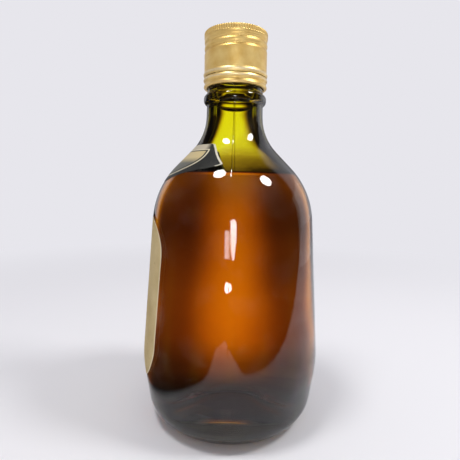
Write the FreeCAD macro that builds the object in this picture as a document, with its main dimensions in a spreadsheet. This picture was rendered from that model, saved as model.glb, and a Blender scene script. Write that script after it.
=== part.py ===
import FreeCAD, Part
import math
import os

import Sketcher

# Squat green glass bottle with a gold roll-on screw cap, built as seven separate pieces.
# Lengths are in millimetres and angles in degrees. The origin is the middle of the foot, +Z is up
# the neck and the labels face -Y.

os.makedirs("parts", exist_ok=True)
doc = FreeCAD.newDocument("bottle")
sheet = doc.addObject("Spreadsheet::Sheet", "Sizes")

# One row per size: name, value.
SIZES = [
    # Glass, outside. The half-section's corners are set out from the belly and up from the foot.
    ("punt_crown_radius", 11.0),
    ("punt_height", 9.0),
    ("punt_round", 14.0),
    ("foot_inset", 18.0),
    ("foot_round", 3.0),
    ("heel_inset", 4.7),
    ("heel_round", 15.0),
    ("belly_radius", 46.7),
    ("belly_height", 32.7),
    ("belly_round", 60.0),
    ("shoulder_inset", 6.4),
    ("shoulder_height", 121.0),
    ("shoulder_round", 41.7),
    ("shoulder_rise", 26.3),
    ("neck_round", 25.6),
    ("neck_taper", 0.3),
    ("neck_length", 48.0),
    # Glass, the finish that takes the cap. Radii are set out from its plain wall and heights down
    # from the mouth.
    ("finish_radius", 14.1),
    ("finish_wall", 4.5),
    ("neck_step", 0.1),
    ("bead_drop", 29.8),
    ("bead_depth", 1.7),
    ("bead_width", 3.2),
    ("bead_flank", 1.2),
    ("bead_round", 2.4),
    ("bead_foot_round", 0.9),
    ("lock_drop", 21.7),
    ("lock_depth", 0.85),
    ("lock_width", 1.6),
    ("lock_flank", 0.8),
    ("lock_round", 0.5),
    ("mouth_round", 1.6),
    # Glass, wall thicknesses and the offsets of the inside corners.
    ("belly_wall", 3.2),
    ("shoulder_wall", 3.0),
    ("floor_wall", 6.0),
    ("inside_neck_rise", 0.7),
    ("inside_shoulder_drop", 0.2),
    ("inside_heel_round", 11.0),
    # Contents, filled to a height above the corner of the shoulder.
    ("fill_rise", 6.7),
    ("contents_gap", 0.1),
    # Liner pressed between the mouth and the top of the shell.
    ("liner_thickness", 1.9),
    ("liner_gap", 0.05),
    ("liner_clearance", 0.35),
    # Cap shell, set out from the finish and down from its own top.
    ("cap_wall", 0.3),
    ("finish_clearance", 0.6),
    ("cap_length", 21.45),
    ("cap_top_round", 0.8),
    ("crown_step", 0.15),
    ("crown_length", 2.7),
    ("thread_pitch", 3.175),
    ("thread_depth", 0.7),
    ("thread_round", 0.6),
    ("thread_lead", 1.35),
    ("thread_runout", 1.25),
    ("cap_bead_depth", 0.55),
    ("cap_bead_rise", 1.35),
    ("cap_bead_fade", 1.1),
    ("cap_bead_round", 0.8),
    ("knurl_count", 80),
    ("knurl_width", 0.8),
    ("knurl_depth", 0.18),
    ("knurl_length", 1.7),
    # Tear line between the shell and the band, with its bridges.
    ("tear_gap", 0.3),
    ("bridge_count", 10),
    ("bridge_width", 0.8),
    ("bridge_inset", 0.03),
    ("bridge_clearance", 0.06),
    # Tamper band, down from the tear line.
    ("band_length", 5.05),
    ("band_groove_drop", 2.45),
    ("band_groove_depth", 0.35),
    ("band_lip_step", 0.25),
    ("band_lip_rise", 1.1),
    ("curl_clearance", 0.4),
    # Labels, each a skin on the glass trimmed by an outline seen from the front. Their heights are
    # set from the corners of the glass behind them.
    ("label_gap", 0.06),
    ("label_thickness", 0.15),
    ("body_label_low_drop", 8.7),
    ("body_label_high_drop", 14.5),
    ("body_label_low_half_width", 28.3),
    ("body_label_high_half_width", 26.5),
    ("body_label_low_round", 20.0),
    ("body_label_high_round", 18.0),
    ("shoulder_label_high_drop", 5.1),
    ("shoulder_label_high_half_width", 17.5),
    ("shoulder_label_wing_rise", 10.0),
    ("shoulder_label_wing_half_width", 30.3),
    ("shoulder_label_low_rise", 3.0),
    ("shoulder_label_low_half_width", 12.0),
    ("shoulder_label_wing_round", 1.5),
    ("shoulder_label_low_round", 20.0),
]


class Size:
    """A size as the text of an expression, with its present value to place a sketch by."""

    def __init__(self, text, value):
        self.text = text
        self.value = value

    def __add__(self, other):
        return Size(f"({self.text} + {other.text})", self.value + other.value)

    def __sub__(self, other):
        return Size(f"({self.text} - {other.text})", self.value - other.value)

    def __mul__(self, factor):
        return Size(f"({self.text} * {factor})", self.value * factor)

    def __neg__(self):
        return Size(f"(0 mm - {self.text})", -self.value)


size = {}
for row, (name, value) in enumerate(SIZES, start=1):
    sheet.set(f"A{row}", name)
    sheet.set(f"B{row}", str(value))
    sheet.setAlias(f"B{row}", name)
    unit = "" if name.endswith("_count") else " * 1 mm"
    size[name] = Size(f"Sizes.{name}{unit}", value)
doc.recompute()


def origin_plane(body, role):
    """Return the plane of a body's own origin that has this role."""
    return [part for part in body.Origin.OriginFeatures if part.Role == role][0]


def new_sketch(body, name, role, raised=None):
    """Add a sketch on one of the body's origin planes, raised along its normal if asked."""
    sketch = body.newObject("Sketcher::SketchObject", name)
    sketch.AttachmentSupport = [(origin_plane(body, role), "")]
    sketch.MapMode = "FlatFace"
    if raised is not None:
        sketch.setExpression("AttachmentOffset.Base.z", raised.text)
    return sketch


def bind(sketch, constraint, length):
    """Add a constraint of a given length and bind it to the sheet."""
    sketch.setExpression(f"Constraints[{sketch.addConstraint(constraint)}]", length.text)


def pin(sketch, geometry, point, across, up):
    """Hold a point of the sketch at a distance across and up from its origin; None is on an axis."""
    if across is None:
        sketch.addConstraint(Sketcher.Constraint("PointOnObject", geometry, point, -2))
    else:
        bind(sketch, Sketcher.Constraint("DistanceX", -1, 1, geometry, point, across.value), across)
    if up is None:
        sketch.addConstraint(Sketcher.Constraint("PointOnObject", geometry, point, -1))
    else:
        bind(sketch, Sketcher.Constraint("DistanceY", -1, 1, geometry, point, up.value), up)


def draw(sketch, corners, closed=True):
    """Draw lines through corners (across, up, rounding); each rounding is an arc tangent to both lines."""
    spots = [FreeCAD.Vector(c[0].value if c[0] else 0, c[1].value if c[1] else 0, 0) for c in corners]
    count = len(corners)
    enter = list(spots)
    leave = list(spots)
    arcs = {}
    for i, (across, up, rounding) in enumerate(corners):
        if rounding is None:
            continue
        back = (spots[i - 1] - spots[i]).normalize()
        ahead = (spots[(i + 1) % count] - spots[i]).normalize()
        half = back.getAngle(ahead) / 2
        enter[i] = spots[i] + back * (rounding.value / math.tan(half))
        leave[i] = spots[i] + ahead * (rounding.value / math.tan(half))
        centre = spots[i] + (back + ahead).normalize() * (rounding.value / math.sin(half))
        left = back.cross(ahead).z < 0
        first, last = (enter[i], leave[i]) if left else (leave[i], enter[i])
        angles = [math.atan2(p.y - centre.y, p.x - centre.x) for p in (first, last)]
        circle = Part.Circle(centre, FreeCAD.Vector(0, 0, 1), rounding.value)
        arc = sketch.addGeometry(Part.ArcOfCircle(circle, *angles), False)
        arcs[i] = (arc, 1, 2) if left else (arc, 2, 1)
    sides = range(count if closed else count - 1)
    lines = [sketch.addGeometry(Part.LineSegment(leave[i], enter[(i + 1) % count]), False) for i in sides]
    for i, (across, up, rounding) in enumerate(corners):
        before = lines[i - 1] if closed or i > 0 else None
        after = lines[i] if i < len(lines) else None
        if rounding is not None:
            arc, start, end = arcs[i]
            sketch.addConstraint(Sketcher.Constraint("Tangent", before, 2, arc, start))
            sketch.addConstraint(Sketcher.Constraint("Tangent", arc, end, after, 1))
            bind(sketch, Sketcher.Constraint("Radius", arc, rounding.value), rounding)
            corner = sketch.addGeometry(Part.Point(spots[i]), True)
            sketch.addConstraint(Sketcher.Constraint("PointOnObject", corner, 1, before))
            sketch.addConstraint(Sketcher.Constraint("PointOnObject", corner, 1, after))
            pin(sketch, corner, 1, across, up)
            continue
        if before is not None and after is not None:
            sketch.addConstraint(Sketcher.Constraint("Coincident", before, 2, after, 1))
        pin(sketch, *((after, 1) if after is not None else (before, 2)), across, up)


def turn(body, name, sketch, kind="PartDesign::Revolution"):
    """Turn a half-section through a full circle about the bottle's axis."""
    feature = body.newObject(kind, name)
    feature.Profile = sketch
    feature.ReferenceAxis = (sketch, ["V_Axis"])
    feature.Angle = 360
    sketch.Visibility = False
    doc.recompute()
    return feature


def ring(body, name, feature, sketch, count):
    """Repeat a feature evenly round the bottle's axis."""
    pattern = body.newObject("PartDesign::PolarPattern", name)
    pattern.Originals = [feature]
    pattern.Axis = (sketch, ["N_Axis"])
    pattern.Angle = 360
    pattern.setExpression("Occurrences", count.text)
    body.Tip = pattern
    doc.recompute()
    return pattern


# Places that several pieces share, each worked out from the sizes above.
heel_radius = size["belly_radius"] - size["heel_inset"]
foot_radius = heel_radius - size["foot_inset"]
shoulder_radius = size["belly_radius"] - size["shoulder_inset"]
neck_height = size["shoulder_height"] + size["shoulder_rise"]
mouth_height = neck_height + size["neck_length"]
neck_top_radius = size["finish_radius"] + size["neck_step"]
bore_radius = size["finish_radius"] - size["finish_wall"]
bead_radius = size["finish_radius"] + size["bead_depth"]
bead_low = mouth_height - size["bead_drop"] - size["bead_width"] * 0.5
bead_high = bead_low + size["bead_width"]
lock_radius = size["finish_radius"] + size["lock_depth"]
lock_low = mouth_height - size["lock_drop"] - size["lock_width"] * 0.5
lock_high = lock_low + size["lock_width"]
liner_low = mouth_height + size["liner_gap"]
liner_high = liner_low + size["liner_thickness"]
cap_inner_top = liner_high + size["liner_gap"]
cap_top = cap_inner_top + size["cap_wall"]
groove_radius = size["finish_radius"] + size["finish_clearance"] + size["cap_wall"]
cap_radius = groove_radius + size["thread_depth"]
cap_bead_radius = cap_radius + size["cap_bead_depth"]
crown_radius = cap_radius + size["crown_step"]
crown_low = cap_top - size["crown_length"]
tear_height = cap_top - size["cap_length"]
band_top = tear_height - size["tear_gap"]
band_low = band_top - size["band_length"]
zero = Size("0 mm", 0)


def outside_wall():
    """Corners of the outside of the glass from the heel to the foot of the neck."""
    return [
        (heel_radius, None, size["heel_round"]),
        (size["belly_radius"], size["belly_height"], size["belly_round"]),
        (shoulder_radius, size["shoulder_height"], size["shoulder_round"]),
        (neck_top_radius + size["neck_taper"], neck_height, size["neck_round"]),
    ]


def cavity(gap):
    """Corners of the inside of the glass, from the neck down to the axis, drawn in by a gap."""
    floor = size["floor_wall"] + gap
    return [
        (bore_radius - gap, neck_height + size["inside_neck_rise"],
         size["neck_round"] + size["shoulder_wall"]),
        (shoulder_radius - size["shoulder_wall"] - gap,
         size["shoulder_height"] - size["inside_shoulder_drop"],
         size["shoulder_round"] - size["shoulder_wall"]),
        (size["belly_radius"] - size["belly_wall"] - gap, size["belly_height"],
         size["belly_round"] - size["belly_wall"]),
        (heel_radius - size["belly_wall"] - gap, floor, size["inside_heel_round"]),
        (foot_radius, floor, size["inside_heel_round"]),
        (size["punt_crown_radius"], size["punt_height"] + floor, size["punt_round"]),
        (None, size["punt_height"] + floor, None),
    ]


# Bottle: one half-section runs from the punt round the outside, over the mouth and back down inside.
bottle = doc.addObject("PartDesign::Body", "bottle")
section = new_sketch(bottle, "glass_section", "XZ_Plane")
draw(section, [
    (None, size["punt_height"], None),
    (size["punt_crown_radius"], size["punt_height"], size["punt_round"]),
    (foot_radius, None, size["foot_round"]),
    *outside_wall(),
    (neck_top_radius, bead_low - size["bead_flank"], size["bead_foot_round"]),
    (bead_radius, bead_low, size["bead_round"]),
    (bead_radius, bead_high, size["bead_round"]),
    (size["finish_radius"], bead_high + size["bead_flank"], size["bead_foot_round"]),
    (size["finish_radius"], lock_low - size["lock_flank"], size["lock_round"]),
    (lock_radius, lock_low, size["lock_round"]),
    (lock_radius, lock_high, size["lock_round"]),
    (size["finish_radius"], lock_high + size["lock_flank"], size["lock_round"]),
    (size["finish_radius"], mouth_height, size["mouth_round"]),
    (bore_radius, mouth_height, size["mouth_round"]),
    *cavity(zero),
])
turn(bottle, "glass", section)

# Contents: fills the inside of the glass, then everything above the fill line is turned away.
contents = doc.addObject("PartDesign::Body", "contents")
section = new_sketch(contents, "cavity_section", "XZ_Plane")
draw(section, [
    (None, mouth_height, None),
    (bore_radius - size["contents_gap"], mouth_height, None),
    *cavity(size["contents_gap"]),
])
turn(contents, "cavity_fill", section)
section = new_sketch(contents, "headspace_section", "XZ_Plane")
fill_height = size["shoulder_height"] + size["fill_rise"]
draw(section, [
    (None, fill_height, None),
    (shoulder_radius, fill_height, None),
    (shoulder_radius, cap_top, None),
    (None, cap_top, None),
])
turn(contents, "headspace", section, "PartDesign::Groove")

# Screw cap: a thin drawn shell whose side is rolled into the thread and beaded above the tear line.
screw_cap = doc.addObject("PartDesign::Body", "screw_cap")


def shell_side(inset, top):
    """Corners of one face of the shell's side, from its lower edge to the top."""
    rolled = []
    for step in range(5):
        out = groove_radius if step % 2 == 0 else cap_radius
        up = crown_low - size["thread_lead"] - size["thread_pitch"] * (step / 2)
        rolled.insert(0, (out - inset, up, size["thread_round"]))
    bead = tear_height + size["cap_bead_rise"]
    return [
        (cap_radius - inset, tear_height, None),
        (cap_bead_radius - inset, bead, size["cap_bead_round"]),
        (cap_radius - inset, bead + size["cap_bead_fade"], size["cap_bead_round"]),
        (cap_radius - inset, rolled[0][1] - size["thread_runout"], size["thread_round"]),
        *rolled,
        (crown_radius - inset, crown_low, size["thread_round"]),
        (crown_radius - inset, top, size["cap_top_round"] - inset),
    ]


section = new_sketch(screw_cap, "shell_section", "XZ_Plane")
draw(section, [
    *shell_side(zero, cap_top),
    (None, cap_top, None),
    (None, cap_inner_top, None),
    *reversed(shell_side(size["cap_wall"], cap_inner_top)),
])
turn(screw_cap, "shell", section)

# Knurl: one notch down the crown of the shell, below its rounded edge, repeated all the way round.
# Its flanks run on past the crown by its depth, where they are twice as far apart.
section = new_sketch(screw_cap, "knurl_notch", "XY_Plane", cap_top - size["cap_top_round"])
draw(section, [
    (crown_radius - size["knurl_depth"], None, None),
    (crown_radius + size["knurl_depth"], -size["knurl_width"], None),
    (crown_radius + size["knurl_depth"], size["knurl_width"], None),
])
notch = screw_cap.newObject("PartDesign::Pocket", "notch")
notch.Profile = section
notch.setExpression("Length", size["knurl_length"].text)
doc.recompute()
ring(screw_cap, "knurl", notch, section, size["knurl_count"])

# Tamper band: the lower end of the shell, curled in under the locking ring of the glass.
tamper_band = doc.addObject("PartDesign::Body", "tamper_band")


def band_side(inset):
    """Corners of one face of the band, from its top edge to the lip."""
    lip_radius = cap_radius + size["band_lip_step"] - inset
    return [
        (cap_radius - inset, band_top, None),
        (cap_bead_radius - inset, band_top - size["cap_bead_fade"], size["cap_bead_round"]),
        (cap_radius - size["band_groove_depth"] - inset, band_top - size["band_groove_drop"],
         size["cap_bead_round"]),
        (lip_radius, band_low + size["band_lip_rise"], size["cap_bead_round"]),
        (lip_radius, band_low + inset, size["cap_bead_round"] - inset),
    ]


section = new_sketch(tamper_band, "band_section", "XZ_Plane")
curl_radius = size["finish_radius"] + size["curl_clearance"]
draw(section, [
    *band_side(zero),
    (curl_radius, band_low, None),
    (curl_radius, band_low + size["cap_wall"], None),
    *reversed(band_side(size["cap_wall"])),
])
turn(tamper_band, "band", section)

# Tear bridges: small tabs left standing on the band's top edge when the tear line is slit.
section = new_sketch(tamper_band, "bridge_outline", "XY_Plane", band_top)
half_width = size["bridge_width"] * 0.5
bridge_out = cap_radius - size["bridge_inset"]
bridge_in = cap_radius - size["cap_wall"] + size["bridge_inset"]
draw(section, [
    (bridge_in, -half_width, None),
    (bridge_out, -half_width, None),
    (bridge_out, half_width, None),
    (bridge_in, half_width, None),
])
tab = tamper_band.newObject("PartDesign::Pad", "bridge")
tab.Profile = section
tab.setExpression("Length", (size["tear_gap"] - size["bridge_clearance"]).text)
doc.recompute()
ring(tamper_band, "bridges", tab, section, size["bridge_count"])

# Liner: a round wad that fills the space between the mouth and the top of the shell.
cap_liner = doc.addObject("PartDesign::Body", "cap_liner")
section = new_sketch(cap_liner, "liner_section", "XZ_Plane")
liner_radius = crown_radius - size["cap_wall"] - size["liner_clearance"]
draw(section, [
    (None, liner_low, None),
    (liner_radius, liner_low, None),
    (liner_radius, liner_high, None),
    (None, liner_high, None),
])
turn(cap_liner, "liner", section)

# Labels: the outside wall of the glass is offset to make a skin of paper, turned round the axis and
# trimmed to an outline seen from the front.
upright = FreeCAD.Rotation(FreeCAD.Vector(1, 0, 0), 90)


def upright_sketch(name, corners, closed):
    """Draw a free sketch standing in the plane of X and Z."""
    sketch = doc.addObject("Sketcher::SketchObject", name)
    sketch.Placement = FreeCAD.Placement(FreeCAD.Vector(0, 0, 0), upright)
    draw(sketch, corners, closed)
    doc.recompute()
    return sketch


wall_path = upright_sketch("label_path", [
    (heel_radius, None, None),
    *outside_wall()[1:],
    (neck_top_radius, bead_low - size["bead_flank"], None),
], False)


def offset(name, source, length, fill):
    """Offset a sketch or its offset outward, filling the strip between if asked."""
    strip = doc.addObject("Part::Offset2D", name)
    strip.Source = source
    strip.Mode = "Skin"
    strip.setExpression("Value", (-length).text)
    strip.Fill = fill
    doc.recompute()
    return strip


paper_back = offset("paper_back", wall_path, size["label_gap"], False)
paper_strip = offset("paper_strip", paper_back, size["label_thickness"], True)
# The strip is turned as splines, because the trim fails on a turned arc that spans angle zero.
paper = doc.addObject("Part::Feature", "paper_skin")
paper.Shape = paper_strip.Shape.toNurbs().revolve(FreeCAD.Vector(0, 0, 0), FreeCAD.Vector(0, 0, 1), 360)


def label(name, corners):
    """Trim the paper skin to a closed outline, on the front of the bottle only."""
    half = doc.addObject("Part::Extrusion", name + "_block")
    half.Base = upright_sketch(name + "_outline", corners, True)
    half.DirMode = "Custom"
    half.Dir = FreeCAD.Vector(0, -1, 0)
    half.setExpression("LengthFwd", (size["belly_radius"] * 2).text)
    half.Solid = True
    trimmed = doc.addObject("Part::Common", name)
    trimmed.Base = paper
    trimmed.Tool = half
    doc.recompute()
    return trimmed


def mirrored(corners):
    """Complete an outline from the corners of its right half, listed from the top down."""
    return corners + [(-across, up, rounding) for across, up, rounding in reversed(corners)]


body_label = label("body_label", mirrored([
    (size["body_label_high_half_width"], size["shoulder_height"] - size["body_label_high_drop"],
     size["body_label_high_round"]),
    (size["body_label_low_half_width"], size["belly_height"] - size["body_label_low_drop"],
     size["body_label_low_round"]),
]))
shoulder_label = label("shoulder_label", mirrored([
    (size["shoulder_label_high_half_width"], neck_height - size["shoulder_label_high_drop"],
     size["shoulder_label_wing_round"]),
    (size["shoulder_label_wing_half_width"], size["shoulder_height"] + size["shoulder_label_wing_rise"],
     size["shoulder_label_wing_round"]),
    (size["shoulder_label_low_half_width"], size["shoulder_height"] + size["shoulder_label_low_rise"],
     size["shoulder_label_low_round"]),
]))

# Every object must be sound, then each piece is written under its own name.
for item in doc.Objects:
    if "Invalid" in item.State or "Error" in item.State:
        raise RuntimeError(f"{item.Name} did not compute")
for piece in (bottle, contents, screw_cap, tamper_band, cap_liner, body_label, shoulder_label):
    if piece.Shape.isNull() or not piece.Shape.isValid():
        raise RuntimeError(f"{piece.Label} has no sound shape")
    piece.Shape.exportStep(f"parts/{piece.Label}.step")
    box = piece.Shape.BoundBox
    print(f"{piece.Label}: {piece.Shape.Volume:.0f} mm3, solids {len(piece.Shape.Solids)}, "
          f"x {box.XMin:.2f} {box.XMax:.2f} y {box.YMin:.2f} {box.YMax:.2f} z {box.ZMin:.2f} {box.ZMax:.2f}")
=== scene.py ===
import math

import bpy
import numpy as np
from mathutils import Matrix, Vector, noise


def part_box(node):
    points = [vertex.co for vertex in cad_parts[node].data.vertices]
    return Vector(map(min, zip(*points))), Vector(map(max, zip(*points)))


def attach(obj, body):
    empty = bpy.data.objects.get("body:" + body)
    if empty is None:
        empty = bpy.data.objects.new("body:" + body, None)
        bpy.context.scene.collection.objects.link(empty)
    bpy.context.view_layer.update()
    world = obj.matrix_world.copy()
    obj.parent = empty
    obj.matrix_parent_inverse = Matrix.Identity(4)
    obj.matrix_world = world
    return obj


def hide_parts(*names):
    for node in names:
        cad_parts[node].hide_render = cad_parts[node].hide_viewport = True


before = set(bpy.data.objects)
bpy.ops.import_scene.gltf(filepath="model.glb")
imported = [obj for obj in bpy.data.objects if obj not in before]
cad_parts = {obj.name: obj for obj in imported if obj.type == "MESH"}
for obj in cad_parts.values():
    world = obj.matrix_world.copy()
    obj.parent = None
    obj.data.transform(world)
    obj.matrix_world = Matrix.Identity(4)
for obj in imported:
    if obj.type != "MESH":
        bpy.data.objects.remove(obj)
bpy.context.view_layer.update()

# Glass bottle: blown in a two-part mould from olive green soda-lime glass, with a pushed-up punt, a
# beaded neck and a threaded finish. The mould leaves a fine seam up each side, facing +X and -X, and
# the inside, which only air has shaped, is less even than the outside.
MM = 0.001
belly_radius = 46.7
belly_height = 32.7
belly_round = 60.0
heel_radius = belly_radius - 4.7
heel_round = 15.0
foot_radius = heel_radius - 18.0
foot_round = 3.0
punt_height = 9.0
punt_crown_radius = 11.0
punt_round = 14.0
shoulder_radius = belly_radius - 6.4
shoulder_height = 121.0
shoulder_round = 41.7
neck_height = shoulder_height + 26.3
neck_round = 25.6
mouth_height = neck_height + 48.0
mouth_round = 1.6
finish_radius = 14.1
neck_top_radius = finish_radius + 0.1
neck_foot_radius = finish_radius + 0.4
bore_radius = finish_radius - 4.5
bead_height = mouth_height - 29.8
bead_radius = finish_radius + 1.7
bead_half_width = 1.6
bead_foot = 2.8
bead_round = 2.4
bead_foot_round = 0.9
lock_height = mouth_height - 21.7
lock_radius = finish_radius + 0.85
lock_half_width = 0.8
lock_foot = 1.6
lock_round = 0.5
belly_wall = 3.2
shoulder_wall = 3.0
floor_wall = 6.0
inside_neck_rise = 0.7
inside_shoulder_drop = 0.2
inside_heel_round = 11.0
glass_steps = 192
longest_turn = math.radians(9)
weld = 0.002


def rounded(corners, longest):
    """Points of an outline through corners (across, up, rounding) in mm, no further apart than longest."""
    points = []
    count = len(corners)
    spots = [Vector((across, up)) for across, up, rounding in corners]

    def run_to(spot):
        """Add points in a straight line from the last one."""
        if not points:
            points.append(spot)
            return
        start = points[-1]
        cuts = max(1, math.ceil((spot - start).length / longest))
        points.extend(start.lerp(spot, (i + 1) / cuts) for i in range(cuts))

    for i, (across, up, rounding) in enumerate(corners):
        if not rounding or i in (0, count - 1):
            run_to(spots[i])
            continue
        back = (spots[i - 1] - spots[i]).normalized()
        ahead = (spots[i + 1] - spots[i]).normalized()
        half = back.angle(ahead) / 2
        reach = rounding / math.tan(half)
        centre = spots[i] + (back + ahead).normalized() * (rounding / math.sin(half))
        run_to(spots[i] + back * reach)
        arm = points[-1] - centre
        turn = math.copysign(math.pi - 2 * half, ahead.cross(back))
        cuts = max(3, math.ceil(abs(turn) * rounding / longest), math.ceil(abs(turn) / longest_turn))
        for step in range(1, cuts + 1):
            angle = turn * step / cuts
            points.append(centre + Vector((arm.x * math.cos(angle) - arm.y * math.sin(angle),
                                           arm.x * math.sin(angle) + arm.y * math.cos(angle))))
    return points


def draw(name, points):
    """Draw an outline in the plane of X and Z: one loose vertex, extruded from point to point."""
    bpy.ops.object.select_all(action="DESELECT")
    bpy.ops.mesh.primitive_plane_add(size=MM)
    piece = bpy.context.object
    piece.name = piece.data.name = name
    bpy.ops.object.mode_set(mode="EDIT")
    bpy.ops.mesh.merge(type="CENTER")
    bpy.ops.transform.translate(value=(points[0].x * MM, 0, points[0].y * MM))
    for start, end in zip(points, points[1:]):
        step = (end - start) * MM
        bpy.ops.mesh.extrude_region_move(TRANSFORM_OT_translate={"value": (step.x, 0, step.y)})
    return piece


def lathe(steps):
    """Spin the outline being drawn round the axis, close its seam and poles and turn its faces out."""
    bpy.ops.mesh.select_all(action="SELECT")
    bpy.ops.mesh.spin(steps=steps, angle=math.tau, center=(0, 0, 0), axis=(0, 0, 1))
    bpy.ops.mesh.select_all(action="SELECT")
    bpy.ops.mesh.remove_doubles(threshold=weld * MM)
    bpy.ops.mesh.normals_make_consistent(inside=False)


def ease(value, low, high):
    """Go smoothly from 0 at low to 1 at high."""
    share = min(max((value - low) / (high - low), 0), 1)
    return share * share * (3 - 2 * share)


def polar(vertex):
    """A vertex's distance from the axis, its angle round the axis and its height, in mm and radians."""
    return (math.hypot(vertex.co.x, vertex.co.y) / MM, math.atan2(vertex.co.y, vertex.co.x),
            vertex.co.z / MM)


def push(vertex, out):
    """Move a vertex straight out from the axis by a length in mm."""
    share = 1 + out * MM / max(math.hypot(vertex.co.x, vertex.co.y), MM)
    vertex.co.x *= share
    vertex.co.y *= share


# The outline is cut finely only from the foot of the thread, over the mouth and a little way inside.
plain_cut = 2.5
thread_cut = 0.35
thread_foot = lock_height + 10.0
mouth_foot = mouth_height - 4.0
outside = rounded([
    (0.0, punt_height, 0),
    (punt_crown_radius, punt_height, punt_round),
    (foot_radius, 0.0, foot_round),
    (heel_radius, 0.0, heel_round),
    (belly_radius, belly_height, belly_round),
    (shoulder_radius, shoulder_height, shoulder_round),
    (neck_foot_radius, neck_height, neck_round),
    (neck_top_radius, bead_height - bead_foot, bead_foot_round),
    (bead_radius, bead_height - bead_half_width, bead_round),
    (bead_radius, bead_height + bead_half_width, bead_round),
    (finish_radius, bead_height + bead_foot, bead_foot_round),
    (finish_radius, lock_height - lock_foot, lock_round),
    (lock_radius, lock_height - lock_half_width, lock_round),
    (lock_radius, lock_height + lock_half_width, lock_round),
    (finish_radius, lock_height + lock_foot, lock_round),
    (finish_radius, thread_foot, 0),
], plain_cut)
finish_top = rounded([
    (finish_radius, thread_foot, 0),
    (finish_radius, mouth_height, mouth_round),
    (bore_radius, mouth_height, mouth_round),
    (bore_radius, mouth_foot, 0),
], thread_cut)


def cavity(out):
    """Corners of the inside of the glass from the neck down to the axis, spread by a length in mm."""
    floor_height = floor_wall - out
    crown_height = punt_height + floor_wall - out
    return [
        (bore_radius + out, neck_height + inside_neck_rise, neck_round + shoulder_wall),
        (shoulder_radius - shoulder_wall + out, shoulder_height - inside_shoulder_drop,
         shoulder_round - shoulder_wall),
        (belly_radius - belly_wall + out, belly_height, belly_round - belly_wall),
        (heel_radius - belly_wall + out, floor_height, inside_heel_round),
        (foot_radius, floor_height, inside_heel_round),
        (punt_crown_radius, crown_height, punt_round),
        (0.0, crown_height, 0),
    ]


inside = rounded([(bore_radius, mouth_foot, 0), *cavity(0.0)], plain_cut)
glass = draw("glass_bottle", outside + finish_top[1:] + inside[1:])
lathe(glass_steps)

# The seam is a ridge raised along each parting line, between cuts that keep the glass beside it even.
seam_turn = -math.tau / glass_steps
across_seam = Vector((-math.sin(seam_turn), math.cos(seam_turn), 0))
seam_half_width = 0.22
seam_cuts = (-1.6, -1, 1, 1.6)
seam_height = 0.3
seam_on_body = 0.15
seam_low = 2.0
seam_high = bead_height + 2.0
for share in seam_cuts:
    bpy.ops.mesh.select_all(action="SELECT")
    bpy.ops.mesh.bisect(plane_co=across_seam * share * seam_half_width * MM, plane_no=across_seam)
bpy.ops.object.mode_set(mode="OBJECT")

thread_pitch = 3.175
thread_low = 187.2
thread_turns = 1.9
thread_fade = 0.15
thread_start = math.radians(150)
thread_ridge = 1.0
ridge_fullness = 0.8
thread_from = thread_low - 3
thread_to = mouth_height - 1


def along_thread(angle, height, lead):
    """How far a place lies above the helix, in mm, and how fully the helix is formed there."""
    turns = (angle - thread_start) / math.tau
    turns += round((height - lead) / thread_pitch - turns)
    formed = ease(turns, 0, thread_fade) * (1 - ease(turns, thread_turns - thread_fade, thread_turns))
    return height - lead - turns * thread_pitch, formed


def wave(place, size_mm):
    """Smooth unevenness from -1 to 1, with bumps of about this size."""
    return noise.noise(place / (size_mm * MM))


# The unevenness of each side of the wall, as the height and the width of its waves. They fade in away from
# the axis on the inside and up from the foot on the outside. All of the base counts as outside.
inside_wave = 0.22
inside_wave_width = 22
inside_wave_fade = (2, 12)
outside_wave = 0.035
outside_wave_width = 28
outside_wave_fade = (4, 30)
skin = 0.3
seam_reach = 0.02
seam_inset = 0.1
lowest = min(range(len(outside)), key=lambda i: outside[i].y)
outer_wall = np.array(outside[lowest:])
for vertex in glass.data.vertices:
    radius, angle, height = polar(vertex)
    in_base = height < punt_height
    if not in_base and radius < np.interp(height, outer_wall[:, 1], outer_wall[:, 0]) - skin:
        push(vertex, inside_wave * wave(vertex.co, inside_wave_width) * ease(radius, *inside_wave_fade))
        continue
    push(vertex, outside_wave * wave(vertex.co, outside_wave_width) * ease(height, *outside_wave_fade))
    on_seam = abs(vertex.co.dot(across_seam)) < seam_reach * MM and radius > finish_radius - seam_inset
    if on_seam and seam_low < height < seam_high:
        on_neck = ease(height, shoulder_height, neck_height)
        push(vertex, seam_height * (seam_on_body + (1 - seam_on_body) * on_neck))
    if thread_from < height < thread_to:
        above, formed = along_thread(angle, height, thread_low - thread_pitch / 2)
        crest = max(0, math.cos(math.tau * above / thread_pitch)) ** ridge_fullness
        push(vertex, thread_ridge * formed * crest)
bpy.ops.object.shade_smooth()


def linear(hex_colour):
    """Turn an sRGB hex colour to a linear one."""
    parts = [int(hex_colour[i:i + 2], 16) / 255 for i in (0, 2, 4)]
    return (*[c / 12.92 if c <= 0.04045 else ((c + 0.055) / 1.055) ** 2.4 for c in parts], 1)


def new_material(name):
    """Start a material with nothing but its output."""
    material = bpy.data.materials.new(name)
    material.use_nodes = True
    material.node_tree.nodes.clear()
    return material


def node(tree, kind, inputs=None, **settings):
    """Add a node: settings go on the node itself, inputs are values or the sockets of other nodes."""
    made = tree.nodes.new(kind)
    for name, value in settings.items():
        setattr(made, name, value)
    for name, value in (inputs or {}).items():
        if isinstance(value, bpy.types.NodeSocket):
            tree.links.new(value, made.inputs[name])
        else:
            made.inputs[name].default_value = value
    return made


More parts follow.
